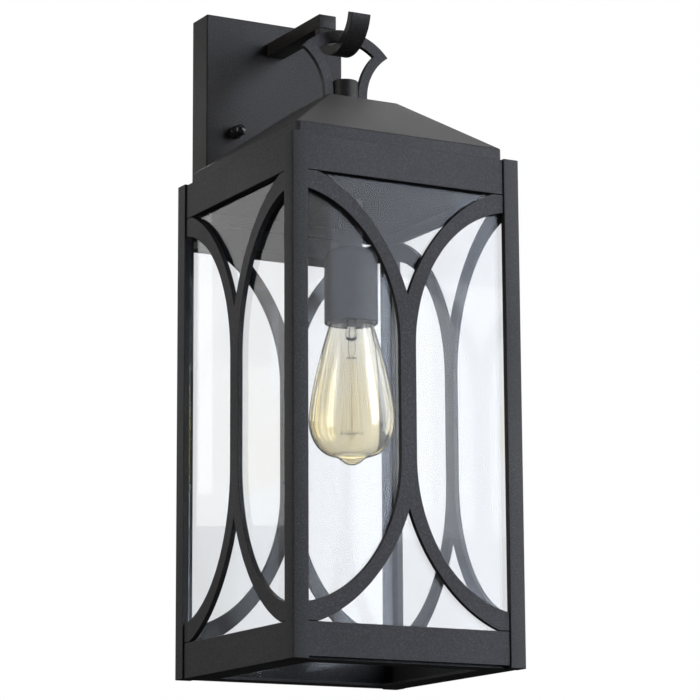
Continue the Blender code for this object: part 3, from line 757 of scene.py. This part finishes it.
def make_bulb_glass():
    """Blown glass whose inside follows the outside at the wall's thickness, open at the neck."""
    outside = bulb_outside()
    wall = 0.0007
    inside = []
    for i, (radius, height) in enumerate(outside):
        before = outside[max(i - 1, 0)]
        after = outside[min(i + 1, len(outside) - 1)]
        run = Vector((after[0] - before[0], after[1] - before[1])).normalized()
        inside.append((max(radius - wall * run.y, PINHOLE), height + wall * run.x))
    rings = [(circle(r, LAMP_STEPS), z) for r, z in outside + inside[::-1]]
    loft("blown_bulb", rings, up_the_lamp, AMBER, "bulb", ["bulb_glass"], 60)


ROD_RADIUS = 0.00055
STRANDS = 8
EYE_RADIUS = 0.0004
HOOK_RADIUS = 0.00013
LEAD_RADIUS = 0.0002
FILAMENT_RADIUS = 0.00009


def press_height():
    """The lower end of the glass mount, where its press holds the rod and the lead wires."""
    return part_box("bulb_mount")[0].z - FOOT


def make_mount():
    """The pressed glass mount: a flat press, a slim stem, and a flare into the neck."""
    press = press_height()
    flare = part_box("bulb_mount")[1].z - FOOT
    foot = [(0.0006, press), (0.0026, press + 0.0003), (0.0040, press + 0.0016)]
    stem = [(0.0046, press + 0.0040), (0.0047, press + 0.0075), (0.0030, 0.2560), (0.0030, 0.2590)]
    bell = [(0.0031, 0.2600), (0.0034, 0.2650), (0.0050, 0.2670), (0.0074, flare)]
    rings = [(circle(r, 32), z) for r, z in foot + bezier(stem, 8) + bezier(bell, 8)]
    loft("pressed_mount", rings, up_the_lamp, LAMP_GLASS, "bulb", ["bulb_mount"], 60)


def make_rod():
    """The centre rod, with a bead at its lower end."""
    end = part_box("filament_rod")[0].z - FOOT
    profile = [(0.0009, end), (0.0011, end + 0.0008), (ROD_RADIUS, end + 0.0018)]
    profile += [(ROD_RADIUS, press_height() - 0.0006)]
    rings = [(circle(r, 16), z) for r, z in profile]
    loft("centre_rod", rings, up_the_lamp, AMBER, "bulb", ["filament_rod"], 60)


def ring_spot(radius, turn, height):
    """A point around the lamp's axis."""
    return (LAMP.x + radius * math.cos(turn), LAMP.y + radius * math.sin(turn), FOOT + height)


def make_hooks(level, side):
    """A ring on the rod with a hook for each strand. Gives the radius and height that hold the filament."""
    node = f"filament_hooks_{level}"
    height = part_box(node)[0].z - FOOT + EYE_RADIUS
    margin, dip, hub = 0.0005, 0.0003, 0.0009
    reach = size(node).x / 2 - margin
    eye = []
    for i in range(11):
        angle = math.pi - math.radians(300) * i / 10
        eye.append((reach - EYE_RADIUS + EYE_RADIUS * math.cos(angle), side * EYE_RADIUS * math.sin(angle)))
    path = [(hub, 0.0), (reach * 0.6, -side * dip)] + eye
    routes = [[ring_spot(hub, math.tau * i / 24, height) for i in range(25)]]
    for i in range(STRANDS):
        turn = math.tau * i / STRANDS
        routes.append([ring_spot(r, turn, height + z) for r, z in path])
    wires(f"{node}_wires", routes, HOOK_RADIUS, WIRE, node, 1)
    inside_eye = reach - 0.0003
    return inside_eye, height


def make_filament(lower, upper):
    """One long filament, up and down between the hooks, each strand slack and a little wavy."""
    (wide, low), (narrow, high) = lower, upper
    steps = 14
    slack = 0.0003
    route = []
    for i in range(STRANDS):
        turn = math.tau * i / STRANDS
        for k in range(steps + 1):
            part = k / steps if i % 2 == 0 else 1 - k / steps
            bow = slack * math.sin(math.pi * part)
            radius = wide + (narrow - wide) * part - bow
            wave = 0.02 * math.sin(3 * part + i)
            route.append(ring_spot(radius, turn + wave, low + (high - low) * part))
    wires("carbon_filament", [route], FILAMENT_RADIUS, FILAMENT, "filament", 2)


def make_leads(height):
    """Two unequal lead wires, from the press down to the upper hooks."""
    start, end = press_height() - 0.0003, height + 0.0005
    left = [(-0.0022, start), (-0.0027, start - 0.0047), (-0.0024, end + 0.0045), (-0.0016, end)]
    right = [(0.0026, start), (0.0040, start - 0.0037), (0.0034, end + 0.0055), (0.0012, end)]
    for side, points in (("left", left), ("right", right)):
        route = [(LAMP.x + x, LAMP.y, FOOT + z) for x, z in bezier(points, 14)]
        node = f"lead_wire_{side}"
        wires(f"{node}_bent", [route], LEAD_RADIUS, WIRE, node, 2)


# ---------------------------------------------------------------- studio

CAMERA_AZIMUTH = -28.697  # degrees; 0 looks along +Y
CAMERA_PITCH = 11.452  # looks up from below
CAMERA_ROLL = -0.303
CAMERA_PLACE = (-1.06212, -2.08616, -0.63981)
CAMERA_LENS = 156.68  # millimetres, on a 36 mm sensor
FLOOR_Z = -1.75  # a lantern hangs at about eye level
WHITE = (1.0, 1.0, 1.0)


def make_camera():
    """Looks at the lantern from the front left and below."""
    turn, pitch, roll = (math.radians(a) for a in (CAMERA_AZIMUTH, CAMERA_PITCH, CAMERA_ROLL))
    ahead = Vector((-math.sin(turn) * math.cos(pitch), math.cos(turn) * math.cos(pitch), math.sin(pitch)))
    level = Vector((math.cos(turn), math.sin(turn), 0.0))
    lifted = level.cross(ahead)
    right = level * math.cos(roll) + lifted * math.sin(roll)
    up = lifted * math.cos(roll) - level * math.sin(roll)
    data = bpy.data.cameras.new("camera")
    data.lens = CAMERA_LENS
    data.sensor_width = 36.0
    data.clip_end = 100.0
    camera = add_object("camera", data)
    turned = Matrix((right, up, -ahead)).transposed().to_4x4()
    camera.matrix_world = Matrix.Translation(CAMERA_PLACE) @ turned
    bpy.context.scene.camera = camera


def softbox(name, azimuth, elevation, distance, width, height, radiance, tint=WHITE):
    """A panel that faces the lantern from a direction: azimuth 0 is in front, 90 to the right, in degrees."""
    turn, rise = math.radians(azimuth), math.radians(elevation)
    towards = Vector((math.sin(turn) * math.cos(rise), -math.cos(turn) * math.cos(rise), math.sin(rise)))
    light = bpy.data.lights.new(name, "AREA")
    light.shape = "RECTANGLE"
    light.size = width
    light.size_y = height
    light.energy = math.pi * width * height * radiance
    light.color = tint
    obj = add_object(name, light)
    cage = middle("glass_front")
    cage.y = AXIS.y
    obj.location = cage + towards * distance
    obj.rotation_euler = (-towards).to_track_quat("-Z", "Y").to_euler()
    obj.visible_camera = False
    obj.visible_transmission = False


def make_world():
    """White behind the object, and a dim room, darker in front and below, for light and reflections."""
    world = bpy.data.worlds.new("studio")
    bpy.context.scene.world = world
    world.use_nodes = True
    tree = world.node_tree
    tree.nodes.clear()

    def add(kind):
        return tree.nodes.new(kind)

    def spread(value, start, end, low, high):
        node = add("ShaderNodeMapRange")
        for name, number in (("From Min", start), ("From Max", end), ("To Min", low), ("To Max", high)):
            node.inputs[name].default_value = number
        tree.links.new(value, node.inputs["Value"])
        return node.outputs["Result"]

    def maths(operation, first, second):
        node = add("ShaderNodeMath")
        node.operation = operation
        tree.links.new(first, node.inputs[0])
        tree.links.new(second, node.inputs[1])
        return node.outputs[0]

    split = add("ShaderNodeSeparateXYZ")
    tree.links.new(add("ShaderNodeTexCoord").outputs["Generated"], split.inputs["Vector"])
    depth = spread(split.outputs["Y"], -0.6, 0.8, 0.03, 0.22)
    height = spread(split.outputs["Z"], -0.3, 0.3, 0.04, 1.0)
    room, paper = add("ShaderNodeBackground"), add("ShaderNodeBackground")
    for background in (room, paper):
        background.inputs["Color"].default_value = (*WHITE, 1.0)
    tree.links.new(maths("MULTIPLY", depth, height), room.inputs["Strength"])
    paper.inputs["Strength"].default_value = 1.0
    rays = add("ShaderNodeLightPath").outputs
    mix = add("ShaderNodeMixShader")
    tree.links.new(maths("MAXIMUM", rays["Is Camera Ray"], rays["Is Transmission Ray"]), mix.inputs["Fac"])
    tree.links.new(room.outputs[0], mix.inputs[1])
    tree.links.new(paper.outputs[0], mix.inputs[2])
    tree.links.new(mix.outputs[0], add("ShaderNodeOutputWorld").inputs["Surface"])


def make_floor():
    """A pale floor that takes light, but sends none back onto the lantern."""
    mesh = bpy.data.meshes.new("studio_floor")
    reach = 6.0
    corners = [(-reach, -reach), (reach, -reach), (reach, reach), (-reach, reach)]
    mesh.from_pydata([(x, y, FLOOR_Z) for x, y in corners], [], [(0, 1, 2, 3)])
    look = Look("pale_floor", Roughness=0.9, Emission_Color=(0.9, 0.9, 0.9, 1.0), Emission_Strength=0.85)
    look.paint(look.blend(look.noise(3, 2.0), (0.20, 0.20, 0.20), (0.22, 0.22, 0.22)))
    mesh.materials.append(look.material)
    floor = add_object("studio_floor", mesh)
    floor.visible_diffuse = False
    floor.visible_glossy = False


def make_lights():
    """The panels stand where the panes and the roof mirror them towards the camera."""
    softbox("front_right_strip", 33, 12, 2.6, 0.6, 2.3, 7.5, (0.68, 0.79, 1.0))
    softbox("front_right_fill", 44, 18, 2.8, 2.2, 2.0, 3.0, (0.98, 0.97, 0.98))
    softbox("right_panel", 80, 6, 2.8, 1.6, 2.2, 3.0)
    softbox("left_panel", -84, 10, 2.6, 1.0, 2.8, 2.8)
    softbox("back_left_panel", 212, 14, 2.6, 0.7, 0.7, 3.0)
    softbox("back_rim_strip", 158, 27, 2.6, 1.2, 0.5, 5.0)
    softbox("back_right_panel", 135, 50, 2.8, 1.6, 1.9, 1.5, (1.0, 0.99, 0.97))
    softbox("top_panel", 0, 75, 2.6, 1.2, 1.2, 0.4)


make_camera()
make_world()
make_floor()
make_lights()
dress_frame()
make_plate()
make_tracery()
make_loop()
make_hook()
make_finial()
make_cap_nuts()
make_roof()
make_cup()
make_cup_liner()
make_bulb_glass()
make_mount()
make_rod()
lower_hooks = make_hooks("lower", -1)
upper_hooks = make_hooks("upper", 1)
make_filament(lower_hooks, upper_hooks)
make_leads(upper_hooks[1])
bpy.context.scene.view_settings.view_transform = "Standard"
